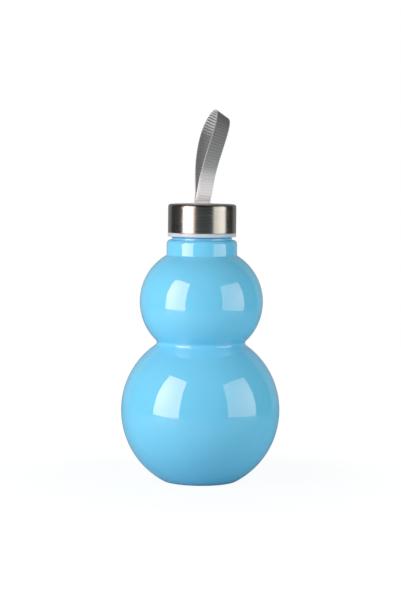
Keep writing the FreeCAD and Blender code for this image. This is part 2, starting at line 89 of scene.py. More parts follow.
class GourdBottleSizes(bpy.types.PropertyGroup):
    """Sizes of the glass bottle."""

    lower_radius: size("Lower bulb", "Radius of the lower bulb", BOTTLE_BOX[1].x)
    heel_arc: size("Heel arc", "Radius of the arc below the widest place", 48.5 * MM)
    foot_radius: size("Foot", "Radius at which that arc would meet the floor", 22.0 * MM)
    upper_radius: size("Upper bulb", "Radius of the upper bulb", 36.95 * MM)
    upper_arc: size("Upper arc", "Radius of the upper bulb's own arc", 32.4 * MM)
    bulb_overlap: size("Bulb overlap", "How far the bulbs run into each other", 14.64 * MM)
    wall: size("Wall", "Thickness of the bulbs' glass", 2.5 * MM)
    base_wall: size("Base", "Thickness of the base", 5.0 * MM)
    push_up_radius: size("Push-up radius", "Radius of the dome under the base", 15.0 * MM)
    push_up_depth: size("Push-up depth", "Depth of the dome under the base", 1.4 * MM)
    collar_radius: size("Collar", "Radius of the collar under the cap", 21.1 * MM)
    collar_height: size("Collar height", "Height of the collar above the shoulder", 9.34 * MM)
    ring_radius: size("Neck ring", "Radius of the ring on the collar", 17.9 * MM)
    ring_height: size("Ring height", "Height of that ring", 1.5 * MM)
    neck_radius: size("Neck", "Radius of the neck between the ridges", 16.6 * MM)
    neck_bore: size("Bore", "Radius of the mouth inside", 14.2 * MM)
    lip: size("Lip", "Height of the lip above the floor", BOTTLE_BOX[1].z)
    thread_pitch: size("Thread pitch", "Rise of the screw thread in one turn", 4.0 * MM)
    thread_start: size("Thread start", "Height at which the neck's ridge starts", 149.2 * MM)


class GourdCapSizes(bpy.types.PropertyGroup):
    """Sizes of the cap's liner, shell and seal."""

    skirt: size("Skirt", "Height of the liner's lower edge", LINER_BOX[0].z)
    flange_radius: size("Flange", "Radius of the rim below the steel", LINER_BOX[1].x)
    flange_top: size("Flange top", "Height of the steel's lower edge", SHELL_BOX[0].z)
    liner_radius: size("Liner", "Outside radius of the liner in the steel", 19.7 * MM)
    liner_bore: size("Liner bore", "Inside radius of the liner", 18.0 * MM)
    deck_top: size("Deck top", "Height of the top of the liner's deck", 161.503 * MM)
    shell_radius: size("Steel radius", "Outside radius of the steel shell", SHELL_BOX[1].x)
    shell_wall: size("Steel wall", "Thickness of the steel", 0.5 * MM)
    shell_top: size("Steel top", "Height of the shell's top", SHELL_BOX[1].z)
    seal_outer: size("Seal outer", "Outside radius of the seal", SEAL_BOX[1].x)
    seal_inner: size("Seal inner", "Inside radius of the seal", 13.6 * MM)


class GourdStrapSizes(bpy.types.PropertyGroup):
    """Sizes of the ribbon, its grommet and its stitches."""

    slot_half: size("Slot half", "Half the straight side of the grommet's opening", 4.75 * MM)
    slot_radius: size("Slot end", "Radius of the ends of that opening", 0.95 * MM)
    ribbon_width: size("Ribbon width", "Width of the ribbon", 10.0 * MM)
    ribbon_thickness: size("Ribbon thickness", "Thickness over the ribs", 0.8 * MM)
    rib_pitch: size("Rib pitch", "Distance between the cross ribs of the weave", 1.75 * MM)
    rib_depth: size("Rib depth", "Depth of the furrows between the ribs", 0.17 * MM)
    lap_end: size("Lap end", "Height of the end that is sewn over the front run", 14.6 * MM)
    eye_height: size("Eye height", "Height of the pin that the ribbon goes round", 163.803 * MM)
    eye_radius: size("Eye radius", "Radius of the middle line round the pin", 1.3 * MM)
    strap_axis: size("Root height", "Height at which the loop leaves the grommet", 168.203 * MM)
    run_gap: size("Run gap", "Gap between the two runs at the root", 0.2 * MM)
    loop_height: size("Loop height", "Height of the loop above its root", 51.9 * MM)
    loop_opening: size("Loop opening", "Widest opening inside the loop", 14.0 * MM)
    loop_lean: size("Loop lean", "How far the loop's top leans sideways", 11.6 * MM)
    root_jog: size("Root jog", "How far the ribbon steps sideways above the grommet", 0.6 * MM)
    jog_rise: size("Jog rise", "Height over which it does so", 7.0 * MM)
    stitch_length: size("Stitch length", "Length of one stitch", 1.25 * MM)
    thread_radius: size("Thread radius", "Radius of the sewing thread", 0.17 * MM)


class GourdFinishes(bpy.types.PropertyGroup):
    """Colours of the surfaces."""

    coat: colour("Coat", "Gloss coat on the glass", 116, 206, 244)
    glass: colour("Glass", "Glass inside, over the coat", 128, 190, 208)
    steel: colour("Steel", "Brushed steel", 172, 164, 157)
    liner: colour("Liner", "Milky plastic of the liner", 194, 207, 220)
    silicone: colour("Silicone", "Seal", 224, 224, 220)
    grommet: colour("Grommet", "Moulded grommet", 205, 206, 210)
    ribbon: colour("Ribbon", "Grey ribbon", 110, 109, 109)
    # The ribbon's light colour is painted light: the sheen near the sewn root, the reflection inside the
    # crest and the highlight along the edges.
    ribbon_painted_light: colour("Ribbon root", "Bleached silver near the sewn root", 244, 243, 246)
    thread: colour("Thread", "Sewing thread", 216, 218, 220)
    floor: colour("Floor", "Studio floor", 172, 205, 216)


class GourdStage(bpy.types.PropertyGroup):
    """Camera, lamps and floor."""

    distance: size("Distance", "From the camera to the bottle's axis", 1.2)
    aim: size("Aim", "Height on the axis that the camera looks at", 108.72 * MM)
    aside: size("Aside", "How far the camera stands to the right", -0.5 * MM)
    azimuth: size("Azimuth", "Side that the camera stands on", math.radians(-27), "ROTATION")
    pitch: size("Pitch", "How far the camera looks down", math.radians(4.2), "ROTATION")
    roll: size("Roll", "How far the camera leans", math.radians(0.58), "ROTATION")
    lens: size("Lens", "Focal length for a 24 mm high frame", 79.87, "CAMERA")
    lamp_left: size("Left lamp", "Power of the left soft box", 3.04, "POWER")
    lamp_right: size("Right lamp", "Power of the right soft box", 1.35, "POWER")
    floor_radius: size("Floor", "Radius of the floor", 1.2)


# Lines: points of a section or a path, as arrays


def unit(vectors):
    """Each vector divided by its own length."""
    return vectors / np.linalg.norm(vectors, axis=-1, keepdims=True)


def arc(centre, start, end, step):
    """Points round a centre from start to end the shorter way, in even steps about step long."""
    fewest = 5
    first, last = np.subtract(start, centre), np.subtract(end, centre)
    angle = math.atan2(first[1], first[0])
    turn = (math.atan2(last[1], last[0]) - angle + math.pi) % FULL_TURN - math.pi
    radius = math.hypot(*first)
    angles = angle + np.linspace(0, turn, max(fewest, math.ceil(abs(turn) * radius / step)) + 1)
    return np.stack([centre[0] + radius * np.cos(angles), centre[1] + radius * np.sin(angles)], 1)


def touch(centre, through, radius):
    """The point at a radius from centre, on the line through another point."""
    away = np.subtract(through, centre)
    return np.add(centre, away * radius / math.hypot(*away))


def crossing(low, low_radius, high, high_radius):
    """Where two circles, one above the other, cross on the side away from the axis."""
    apart = np.subtract(high, low)
    gap = math.hypot(*apart)
    along = (gap**2 + low_radius**2 - high_radius**2) / (2 * gap)
    off = math.sqrt(low_radius**2 - along**2)
    return np.add(low, along * apart / gap + off * np.array([apart[1], -apart[0]]) / gap)


def rounded(corners, radii, steps=5):
    """A closed outline of straight sides whose corners are arcs.

    Each arc touches both sides of its corner: its centre lies on the bisector, radius / sin(half the angle)
    away, and its points swing from one touching point to the other by equal angles.
    """
    corners, radii = np.array(corners, float), np.array(radii, float)
    before = unit(np.roll(corners, 1, 0) - corners)
    after = unit(np.roll(corners, -1, 0) - corners)
    half = np.arccos(np.clip((before * after).sum(1), -1, 1)) / 2
    reach = (radii / np.tan(half))[:, None]
    centres = corners + unit(before + after) * (radii / np.sin(half))[:, None]
    first, last = corners + before * reach - centres, corners + after * reach - centres
    swing = (math.pi - 2 * half)[:, None, None]
    share = np.linspace(0, 1, steps)[None, :, None]
    curve = first[:, None] * np.sin((1 - share) * swing) + last[:, None] * np.sin(share * swing)
    return (centres[:, None] + curve / np.sin(swing)).reshape(-1, 2)


def refined(points, step, closed=False):
    """The same line with extra points, so that no straight piece is longer than step.

    step is one length for the whole line, or an array with one for each piece.
    """
    ends = np.roll(points, -1, 0) if closed else points[1:]
    starts = points if closed else points[:-1]
    counts = np.maximum(1, np.ceil(np.linalg.norm(ends - starts, axis=1) / step)).astype(int)
    first = np.repeat(np.cumsum(counts) - counts, counts)
    share = ((np.arange(counts.sum()) - first) / np.repeat(counts, counts))[:, None]
    line = np.repeat(starts, counts, 0) * (1 - share) + np.repeat(ends, counts, 0) * share
    return line if closed else np.concatenate([line, points[-1:]])


def without_doubles(points):
    """The line without points that repeat the one before them."""
    apart = np.linalg.norm(np.diff(points, axis=0), axis=1) > NEAR
    return points[np.concatenate([[True], apart])]


# Surfaces: grids of points turned into pieces


def grid_faces(rows, columns, wrap_rows=False):
    """Rows and columns of the corners of each quad in a grid whose columns run round.

    The numbers run one past the grid where it closes on itself.
    """
    row, column = np.indices((rows if wrap_rows else rows - 1, columns)).reshape(2, -1)
    return np.stack([row, row, row + 1, row + 1], 1), np.stack([column, column + 1, column + 1, column], 1)


def linked(name, points, faces):
    """A new object with this mesh, in the scene."""
    mesh = bpy.data.meshes.new(name)
    mesh.from_pydata(points.tolist(), [], faces)
    piece = bpy.data.objects.new(name, mesh)
    bpy.context.scene.collection.objects.link(piece)
    return piece


def new_piece(name, grid, poles=(), uv=None, marks=()):
    """A closed mesh over a grid of points whose columns run round.

    Its rows run round too, or else poles are the points on the axis that close its ends with fans. uv gives
    each grid point's (across, along) place on the cloth, with one more row and column where the grid closes.
    marks are named values at each grid point. Faces are turned so that the volume they enclose is positive.
    """
    rows, columns = grid.shape[:2]
    row, column = grid_faces(rows, columns, wrap_rows=not poles)
    faces = (row % rows) * columns + column % columns
    points = grid.reshape(-1, 3)
    fans = np.empty((0, 3), int)
    if poles:
        ring = np.arange(columns)
        after = (ring + 1) % columns
        top = (rows - 1) * columns
        low = np.stack([np.full(columns, len(points)), after, ring], 1)
        high = np.stack([np.full(columns, len(points) + 1), top + ring, top + after], 1)
        fans = np.concatenate([low, high])
        points = np.concatenate([points, np.array(poles, float)])
    a, b, c, d = (points[faces[:, corner]] for corner in range(4))
    if (np.cross(c - a, d - b) * (a + b + c + d)).sum() < 0:
        faces, fans, row, column = (corners[:, ::-1] for corners in (faces, fans, row, column))
    piece = linked(name, points, faces.tolist() + fans.tolist())
    mesh = piece.data
    mesh.shade_smooth()
    if uv is not None:
        places = uv[row, column].astype(np.float32).ravel()
        mesh.uv_layers.new(name="cloth").data.foreach_set("uv", places)
    for mark, values in dict(marks).items():
        attribute = mesh.attributes.new(mark, "FLOAT", "POINT")
        attribute.data.foreach_set("value", values.astype(np.float32).ravel())
    mesh.validate()
    return piece


def round_angles(columns):
    """Even angles once round."""
    return np.arange(columns) * FULL_TURN / columns


def revolved(line, columns, bulge=None):
    """A line of (radius, height) points turned about the axis.

    bulge gives what to add to the radius at each radius, height and angle.
    """
    angle = round_angles(columns)
    radius, height = (np.repeat(line[:, [part]], columns, 1) for part in (0, 1))
    if bulge is not None:
        radius = radius + bulge(radius, height, angle[None, :])
    return np.stack([radius * np.cos(angle), radius * np.sin(angle), height], 2)


def thread_ridge(wall, side, pitch, start, turns, turned=0.0):
    """A bulge, outwards for side 1 and inwards for -1, where a wall of this radius carries a screw thread.

    The ridge's middle climbs one pitch a turn from the height start at the angle turned. Its share falls
    from 1 at the crest's edge to 0 at the root's edge, and fades at both ends of the thread.
    """
    out, root, crest, fade = 1.0 * MM, 1.75 * MM, 0.9 * MM, 0.03

    def bulge(radius, height, angle):
        share = np.zeros(np.broadcast(height, angle).shape)
        for turn in range(math.ceil(turns) + 1):
            wound = (angle - turned) % FULL_TURN / FULL_TURN + turn
            off = np.abs(height - start - pitch * wound)
            across = np.clip((root / 2 - off) / ((root - crest) / 2), 0, 1)
            along = np.clip(wound / fade, 0, 1) * np.clip((turns - wound) / fade, 0, 1)
            share = np.maximum(share, across * along)
        return (np.abs(radius - wall) < NEAR) * side * out * share

    return bulge


# Finishes: node helpers and one maker for each surface


def feed(node, inputs):
    """Links sockets to a node's inputs, sets the other values there, and returns the node."""
    for name, value in inputs.items():
        if isinstance(value, bpy.types.NodeSocket):
            node.id_data.links.new(value, node.inputs[name])
        else:
            node.inputs[name].default_value = value
    return node


def add(near, kind, inputs=(), **settings):
    """A new node in the tree of another node or socket."""
    made = near.id_data.nodes.new("ShaderNode" + kind)
    for name, value in settings.items():
        setattr(made, name, value)
    return feed(made, dict(inputs))


def start_finish(name, values):
    """A new material, and its shader with these values."""
    material = bpy.data.materials.new(name)
    material.use_nodes = True
    return material, feed(material.node_tree.nodes["Principled BSDF"], values)


def place(near):
    """Object coordinates in metres."""
    return add(near, "TexCoord").outputs["Object"]


def calculate(operation, first, second=0.0):
    """The result of one arithmetic step on a socket, alone or with another socket or number."""
    return add(first, "Math", {0: first, 1: second}, operation=operation).outputs[0]


def between(share, low, high):
    """A colour mixed from low to high by a share from 0 to 1."""
    return add(share, "Mix", {0: share, 6: low, 7: high}, data_type="RGBA").outputs[2]


def ranged(value, source, target):
    """A value carried from one range to another, and held at its ends."""
    limits = {"From Min": source[0], "From Max": source[1], "To Min": target[0], "To Max": target[1]}
    return add(value, "MapRange", {"Value": value, **limits}).outputs["Result"]


def graded(value, levels):
    """A level read from a smooth curve, which is given by its levels at some values from 0 to 1."""
    ramp = add(value, "ValToRGB", {"Fac": value})
    ramp.color_ramp.interpolation = "B_SPLINE"
    elements = ramp.color_ramp.elements
    for position, level in levels.items():
        elements.new(position).color = grey(level)
    for default_end in (-1, 0):
        elements.remove(elements[default_end])
    return ramp.outputs["Color"]


def noise(where, scale, detail=2.0, roughness=0.5):
    """Noise from 0 to 1; its grain is about 1 / scale of the coordinate's unit."""
    inputs = {"Vector": where, "Scale": scale, "Detail": detail, "Roughness": roughness}
    return add(where, "TexNoise", inputs).outputs["Fac"]


def relief(height, depth, strength):
    """The normal of a bump with this height map."""
    inputs = {"Height": height, "Distance": depth, "Strength": strength}
    return add(height, "Bump", inputs).outputs["Normal"]


def grey(level):
    """A neutral colour."""
    return (level, level, level, 1.0)


def shade(tint, factor):
    """A colour made lighter or darker."""
    return [min(1.0, channel * factor) for channel in tint] + [1.0]


def mottled(share, tint, low, high):
    """A tint that goes from its low to its high shade by a share from 0 to 1."""
    return between(share, shade(tint, low), shade(tint, high))


def coat_finish(tint):
    """Gloss coat: a softly clouded colour, a faint peel and a trace of dust in the gloss.

    The gloss is warm where it is seen straight on, which keeps lamps in it from washing out to cyan.
    """
    gloss = {"Roughness": 0.04, "IOR": 1.72, "Specular Tint": (1.0, 0.76, 0.6, 1.0)}
    material, shader = start_finish("gloss_coat", gloss)
    where = place(shader)
    look = {
        "Base Color": mottled(noise(where, 34.0, detail=3.0), tint, 0.965, 1.035),
        "Roughness": ranged(noise(where, 900.0), (0.35, 0.75), (0.02, 0.06)),
        "Normal": relief(noise(where, 260.0, detail=1.0), depth=0.01 * MM, strength=0.5),
    }
    feed(shader, look)
    return material


def glass_finish(tint):
    """Bare glass over the coat, inside the bottle: smooth, with slow waves of the blown wall."""
    material, shader = start_finish("bare_glass", {"Roughness": 0.06, "IOR": 1.52, "Coat Weight": 0.5})
    waves = noise(place(shader), 60.0)
    bump = relief(waves, depth=0.2 * MM, strength=0.4)
    feed(shader, {"Base Color": mottled(waves, tint, 0.94, 1.04), "Normal": bump})
    return material


def steel_finish(name, tint, brushed):
    """Steel with fine lines that run round the axis, as a turning pad leaves them.

    The lines are noise stretched along the circles: it changes fast with the sum of radius and height, and
    slowly otherwise. brushed is their strength.
    """
    round_scale, across_scale = 24.0, 2600.0
    drawn = {"Anisotropic": 0.88 * brushed, "Anisotropic Rotation": 0.25}
    material, shader = start_finish(name, {"Metallic": 1.0, "Roughness": 0.32, **drawn})
    where = add(shader, "SeparateXYZ", {"Vector": place(shader)}).outputs
    squares = [calculate("POWER", where[axis], 2.0) for axis in "XY"]
    radius = calculate("SQRT", calculate("ADD", *squares))
    stretched = {axis: calculate("MULTIPLY", where[axis], round_scale) for axis in "XY"}
    stretched["Z"] = calculate("MULTIPLY", calculate("ADD", radius, where["Z"]), across_scale)
    lines = add(shader, "CombineXYZ", stretched).outputs["Vector"]
    grain = noise(lines, 1.0, detail=3.0, roughness=0.6)
    look = {
        "Base Color": mottled(grain, tint, 0.72, 1.2),
        "Roughness": ranged(grain, (0.3, 0.7), (0.25, 0.4)),
        "Normal": relief(grain, depth=0.02 * MM, strength=0.35 * brushed),
    }
    feed(shader, look)
    return material


def moulded_finish(name, tint, rough, soft):
    """Moulded plastic or rubber: fine tool texture, slow clouding and a little light let in."""
    spread = 0.06
    body = {"Roughness": rough, "IOR": 1.46, "Subsurface Weight": soft, "Subsurface Scale": 2 * MM}
    material, shader = start_finish(name, body)
    clouds, texture = noise(place(shader), 120.0, detail=3.0), noise(place(shader), 2600.0)
    look = {
        "Base Color": mottled(clouds, tint, 0.93, 1.03),
        "Roughness": ranged(texture, (0.3, 0.7), (rough - spread, rough + spread)),
        "Normal": relief(texture, depth=0.03 * MM, strength=0.4),
    }
    feed(shader, look)
    return material


def ribbon_finish(tint, painted_light_tint, pitch, strap):
    """Ribbed ribbon: satin threads over each cross rib, with painted shade in the furrows, a painted
    highlight along the edges and a painted sheen at the root.

    The pattern reads the ribbon's own map, across and along it in metres. A cosine of the distance along is
    1 in the furrows and -1 on the ribs, and a finer one across makes the threads that bind them. A painted
    sheen runs from the sewn end upwards. Inside the crest the ribs carry a painted reflection, and the inner
    face is painted lighter than the outer face, as painted light.
    """
    yarn_width, fibre_scale = 0.42 * MM, (5200, 700, 1)
    # Rises over which the painted reflection comes in inside the crest.
    crest = (0.74 * strap.loop_height, 0.88 * strap.loop_height)
    # Distances from the middle over which the painted edge highlight comes in.
    edge_highlight_span = (0.44 * strap.ribbon_width, 0.47 * strap.ribbon_width)
    # Levels of the painted sheen at shares of the loop's height: strongest at the sewn root, fading upwards.
    painted_sheen_curve = {0.16: 1.0, 0.31: 0.5, 0.4: 0.18, 0.6: 0.06, 0.8: 0.0}
    cloth_body = {"Roughness": 0.5, "IOR": 1.45}
    sheen = {"Sheen Weight": 0.2, "Sheen Roughness": 0.35, "Sheen Tint": (0.95, 0.96, 1.0, 1.0)}
    material, shader = start_finish("ribbed_ribbon", {**cloth_body, **sheen})
    cloth = add(shader, "UVMap", uv_map="cloth").outputs["UV"]
    where = add(shader, "SeparateXYZ", {"Vector": cloth}).outputs
    rise = add(shader, "Attribute", attribute_name="rise").outputs["Fac"]
    inside = add(shader, "Attribute", attribute_name="inside").outputs["Fac"]

    furrow = calculate("COSINE", calculate("MULTIPLY", where["Y"], FULL_TURN / pitch))
    yarn = calculate("COSINE", calculate("MULTIPLY", where["X"], FULL_TURN / yarn_width))
    drawn = add(shader, "Mapping", {"Vector": cloth, "Scale": fibre_scale}).outputs["Vector"]
    fibres = noise(drawn, 1.0, detail=3.0)
    # The weave share is low in the furrows and between the threads: the colours made from it paint shade
    # there and a lighter sheen on the ribs.
    weave = calculate("ADD", ranged(furrow, (-1, 1), (0.62, 0.0)), ranged(yarn, (-1, 1), (0.0, 0.16)))
    weave = calculate("ADD", weave, ranged(fibres, (0.3, 0.7), (0.0, 0.22)))

    # Painted sheen: from the sewn root upwards the ribbon is painted in its light colour, with faint ribs.
    painted_sheen_share = graded(ranged(rise, (0, strap.loop_height), (0, 1)), painted_sheen_curve)
    painted_sheen_colour = mottled(weave, painted_light_tint, 0.92, 1.06)
    outer = between(painted_sheen_share, mottled(weave, tint, 0.72, 1.22), painted_sheen_colour)
    # The inner face is painted lighter than the outer face, as painted light, and takes a weaker painted
    # sheen.
    painted_light_lining = between(calculate("MULTIPLY", painted_sheen_share, 0.4), mottled(weave, tint, 1.05, 1.5), painted_sheen_colour)
    # Painted reflection: bright ribs with darker furrows inside the crest.
    painted_reflection_ribs = between(ranged(furrow, (-0.5, 0.4), (1, 0)), shade(tint, 1.5), shade(painted_light_tint, 0.8))
    inner = between(ranged(rise, crest, (0, 1)), painted_light_lining, painted_reflection_ribs)
    # Painted highlight along both edges of the outer face, left out on the inner face and where the painted
    # sheen is.
    edge = ranged(calculate("ABSOLUTE", where["X"]), edge_highlight_span, (0, 0.28))
    outside_away_from_sheen = ranged(calculate("MAXIMUM", inside, painted_sheen_share), (0, 1), (1, 0))
    edge = calculate("MULTIPLY", edge, outside_away_from_sheen)
    threads = calculate("ADD", ranged(yarn, (-1, 1), (0.0, 0.7)), ranged(fibres, (0.3, 0.7), (0.0, 0.3)))
    look = {
        "Base Color": between(edge, between(inside, outer, inner), shade(painted_light_tint, 0.9)),
        "Roughness": ranged(fibres, (0.3, 0.7), (0.42, 0.56)),
        "Normal": relief(threads, depth=0.05 * MM, strength=0.7),
    }
    feed(shader, look)
    return material


def thread_finish(tint):
    """Sewing thread: slanting plies and a slight sheen."""
    material, shader = start_finish("sewing_thread", {"Roughness": 0.5, "Sheen Weight": 0.25})
    waves = {"Vector": place(shader), "Scale": 900.0, "Distortion": 1.5}
    plies = add(shader, "TexWave", waves, bands_direction="DIAGONAL").outputs["Fac"]
    bump = relief(plies, depth=0.05 * MM, strength=0.6)
    feed(shader, {"Base Color": mottled(plies, tint, 0.78, 1.08), "Normal": bump})
    return material


# Pieces


def finish_piece(piece, body, slot, nodes, *materials):
    """Puts materials on a piece, and tells which body it rides on, if one, and which nodes it stands for."""
    for material in materials:
        piece.data.materials.append(material)
    if body:
        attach(piece, body)
    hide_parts(*nodes)


def bulb_centres(bottle):
    """Centres of the heel arc, the lower ball and the upper arc, as (radius, height)."""
    heel_x, upper_x = bottle.lower_radius - bottle.heel_arc, bottle.upper_radius - bottle.upper_arc
    apart = bottle.lower_radius + bottle.upper_arc - bottle.bulb_overlap
    low = math.sqrt(bottle.heel_arc**2 - (bottle.foot_radius - heel_x) ** 2)
    return (heel_x, low), (0.0, low), (upper_x, low + math.sqrt(apart**2 - upper_x**2))


def gourd_side(bottle, inset, floor, foot_round, neck, neck_round):
    """Half outline of the gourd from the floor up to a neck, as (radius, height).

    It is made of circles that touch: a foot round inside the heel arc, the heel arc, the lower ball, a waist
    round outside both bulbs, the upper arc, and a round outside the upper arc that ends on the neck's side.
    inset is how far the line lies inside the outer skin.
    """
    fine, coarse, waist_round = 0.25 * MM, 1.2 * MM, 2.1 * MM
    heel, ball, upper = bulb_centres(bottle)
    heel_radius, ball_radius = bottle.heel_arc - inset, bottle.lower_radius - inset
    upper_radius = bottle.upper_arc - inset
    reach = math.sqrt((heel_radius - foot_round) ** 2 - (heel[1] - floor - foot_round) ** 2)
    foot = (heel[0] + reach, floor + foot_round)
    waist = crossing(ball, ball_radius + waist_round, upper, upper_radius + waist_round)
    climb = math.sqrt((upper_radius + neck_round) ** 2 - (neck + neck_round - upper[0]) ** 2)
    root = (neck + neck_round, upper[1] + climb)
    on_heel, equator = touch(heel, foot, heel_radius), (ball_radius, ball[1])
    below, above = touch(ball, waist, ball_radius), touch(upper, waist, upper_radius)
    shoulder = touch(upper, root, upper_radius)
    arcs = [
        arc(foot, (foot[0], floor), on_heel, fine),
        arc(heel, on_heel, equator, coarse),
        arc(ball, equator, below, coarse),
        arc(waist, below, above, fine),
        arc(upper, above, shoulder, coarse),
        arc(root, shoulder, (neck, root[1]), fine),
    ]
    return np.concatenate(arcs)


class GOURD_OT_bottle(bpy.types.Operator):
    """Makes the coated glass bottle: one closed surface, from under it over the lip to its inside"""

    bl_idname = "gourd.bottle"
    bl_label = "Glass Bottle"

    def execute(self, context):
        bottle, finishes = context.scene.gourd_bottle, context.scene.gourd_finishes
        columns = 208
        line = self.section(bottle)
        pitch, start = bottle.thread_pitch, bottle.thread_start
        ridge = thread_ridge(bottle.neck_radius, 1, pitch, start, NECK_TURNS)
        poles = [(0, 0, bottle.push_up_depth), (0, 0, bottle.base_wall)]
        piece = new_piece("bottle_glass", revolved(line, columns, ridge), poles)
        materials = [coat_finish(finishes.coat), glass_finish(finishes.glass)]
        finish_piece(piece, "bottle", "coated_glass", ["bottle_body"], *materials)
        first_bare = np.argmax(np.abs(line[:, 0] - bottle.neck_bore) < NEAR)
        bare = np.zeros(len(piece.data.polygons), np.int32)
        bare[first_bare * columns : (len(line) - 1) * columns] = 1
        bare[-columns:] = 1
        piece.data.polygons.foreach_set("material_index", bare)
        return {"FINISHED"}

    def section(self, bottle):
        """The glass's line from the push-up, up the outside, over the lip and down inside to the floor."""
        fine, coarse, dome_step, crease = 0.2 * MM, 1.0 * MM, 1.5 * MM, 0.15 * MM
        heel_round, floor_round, throat_round, collar_root = 3.0 * MM, 6.0 * MM, 3.0 * MM, 1.0 * MM
        collar_round, ring_round, lip_round = 2.5 * MM, 0.5 * MM, 0.8 * MM
        floor_rows, floor_end = 12, 1.5 * MM
        depth, base, collar = bottle.push_up_depth, bottle.base_wall, bottle.collar_radius
        ring, neck, bore = bottle.ring_radius, bottle.neck_radius, bottle.neck_bore
        dome = (bottle.push_up_radius**2 + depth**2) / (2 * depth)
        under = arc((0, depth - dome), (0, depth), (bottle.push_up_radius, 0), dome_step)[1:]
        outside = gourd_side(bottle, 0.0, 0.0, heel_round, collar, collar_root)
        inside = gourd_side(bottle, bottle.wall, base, floor_round, bore, throat_round)
        upper_x, upper_z = bulb_centres(bottle)[2]
        shoulder = upper_z + math.sqrt(bottle.upper_arc**2 - (collar - upper_x) ** 2)
        collar_top = shoulder + bottle.collar_height
        ring_top = collar_top + bottle.ring_height
        corners = [outside[-1], (collar, collar_top), (ring, collar_top), (ring, ring_top), (neck, ring_top)]
        corners += [(neck, bottle.lip), (bore, bottle.lip), inside[-1]]
        radii = [0, collar_round, crease, ring_round, crease, lip_round, lip_round, 0]
        mouth = rounded(corners, radii)
        off_wall = np.abs(mouth[:, 0] - neck)
        mouth = refined(mouth, np.where(off_wall[:-1] + off_wall[1:] < NEAR, fine, coarse))
        floor = np.stack([np.linspace(inside[0, 0], floor_end, floor_rows), np.full(floor_rows, base)], 1)
        return without_doubles(np.concatenate([under, outside, mouth, inside[::-1], floor]))


class GOURD_OT_seal(bpy.types.Operator):
    """Makes the silicone seal: a flat ring with rounded edges"""

    bl_idname = "gourd.seal"
    bl_label = "Seal"

    def execute(self, context):
        cap = context.scene.gourd_cap
        columns, step, edge = 160, 1.0 * MM, 0.4 * MM
        low, top = context.scene.gourd_bottle.lip, SEAL_BOX[1].z
        inner, outer = cap.seal_inner, cap.seal_outer
        corners = [(inner, low), (outer, low), (outer, top), (inner, top)]
        line = without_doubles(refined(rounded(corners, [edge] * 4), step, closed=True))
        piece = new_piece("seal_washer", revolved(line, columns))
        material = moulded_finish("silicone", context.scene.gourd_finishes.silicone, rough=0.55, soft=0.1)
        finish_piece(piece, "seal", "seal_silicone", ["seal_ring"], material)
        return {"FINISHED"}


class GOURD_OT_liner(bpy.types.Operator):
    """Makes the milky liner: its rim, threaded skirt and deck, and the ring that carries the steel top"""

    bl_idname = "gourd.liner"
    bl_label = "Threaded Liner"

    def execute(self, context):
        cap, pitch = context.scene.gourd_cap, context.scene.gourd_bottle.thread_pitch
        columns, step, start = 200, 0.22 * MM, 149.673 * MM
        crease, edge, rim = 0.12 * MM, 0.25 * MM, 0.6 * MM
        middle, bore, outer, flange = 2.0 * MM, cap.liner_bore, cap.liner_radius, cap.flange_radius
        upstand_inner, upstand_outer = 15.5 * MM, 17.5 * MM
        low, foot, deck = cap.skirt, cap.flange_top, cap.deck_top
        deck_under, top = SEAL_BOX[1].z, LINER_BOX[1].z
        corners = [(middle, deck_under), (bore, deck_under), (bore, low), (flange, low), (flange, foot)]
        corners += [(outer, foot), (outer, deck), (upstand_outer, deck), (upstand_outer, top)]
        corners += [(upstand_inner, top), (upstand_inner, deck), (middle, deck)]
        radii = [0, crease, edge, rim, rim, crease, edge, crease, edge, edge, crease, 0]
        line = without_doubles(refined(rounded(corners, radii), step))
        ridge = thread_ridge(bore, -1, pitch, start, LINER_TURNS, turned=math.pi)
        poles = [(0, 0, deck_under), (0, 0, deck)]
        piece = new_piece("threaded_liner", revolved(line, columns, ridge), poles)
        material = moulded_finish("milky_plastic", context.scene.gourd_finishes.liner, rough=0.3, soft=0.3)
        finish_piece(piece, "cap", "liner_plastic", ["cap_liner"], material)
        return {"FINISHED"}


class GOURD_OT_shell(bpy.types.Operator):
    """Makes the drawn steel shell with its slot, brushed round its axis"""

    bl_idname = "gourd.shell"
    bl_label = "Steel Shell"

    def execute(self, context):
        cap, strap = context.scene.gourd_cap, context.scene.gourd_strap
        columns, slot_rows, step = 240, 12, 1.5 * MM
        inner, edge, top_round = 14.0 * MM, 0.12 * MM, 1.6 * MM
        outer, top, foot = cap.shell_radius, cap.shell_top, cap.flange_top
        bore, under = outer - cap.shell_wall, top - cap.shell_wall
        corners = [(inner, top), (outer, top), (outer, foot), (bore, foot), (bore, under), (inner, under)]
        radii = [0, top_round, edge, edge, top_round - cap.shell_wall, 0]
        cup = without_doubles(refined(rounded(corners, radii, steps=10), step))[1:-1]
        angle = round_angles(columns)
        hole = self.slot(angle, strap.slot_half, strap.slot_radius + GROMMET_WALL)
        widen = hole + edge + (inner - hole - edge) * np.linspace(0, 1, slot_rows)[:, None]
        wall = np.repeat(cup[:, :1], columns, 1)
        radius = np.concatenate([widen, wall, widen[::-1], hole[None], hole[None]])
        levels = [np.full(slot_rows, top), cup[:, 1], np.full(slot_rows, under), [under + edge, top - edge]]
        height = np.repeat(np.concatenate(levels)[:, None], columns, 1)
        grid = np.stack([radius * np.cos(angle), radius * np.sin(angle), height], 2)
        piece = new_piece("steel_shell", grid)
        material = steel_finish("brushed_steel", context.scene.gourd_finishes.steel, brushed=1.0)
        finish_piece(piece, "cap", "cap_steel", ["cap_shell"], material)
        return {"FINISHED"}

    def slot(self, angle, half, end):
        """Distance from the middle to a slot's edge in each direction: its side or its round end."""
        across, along = np.abs(np.sin(angle)), np.abs(np.cos(angle))
        side = end / np.maximum(across, NEAR)
        tip = half * along + np.sqrt(np.maximum(end**2 - (half * across) ** 2, 0))
        return np.where(side * along <= half, side, tip)


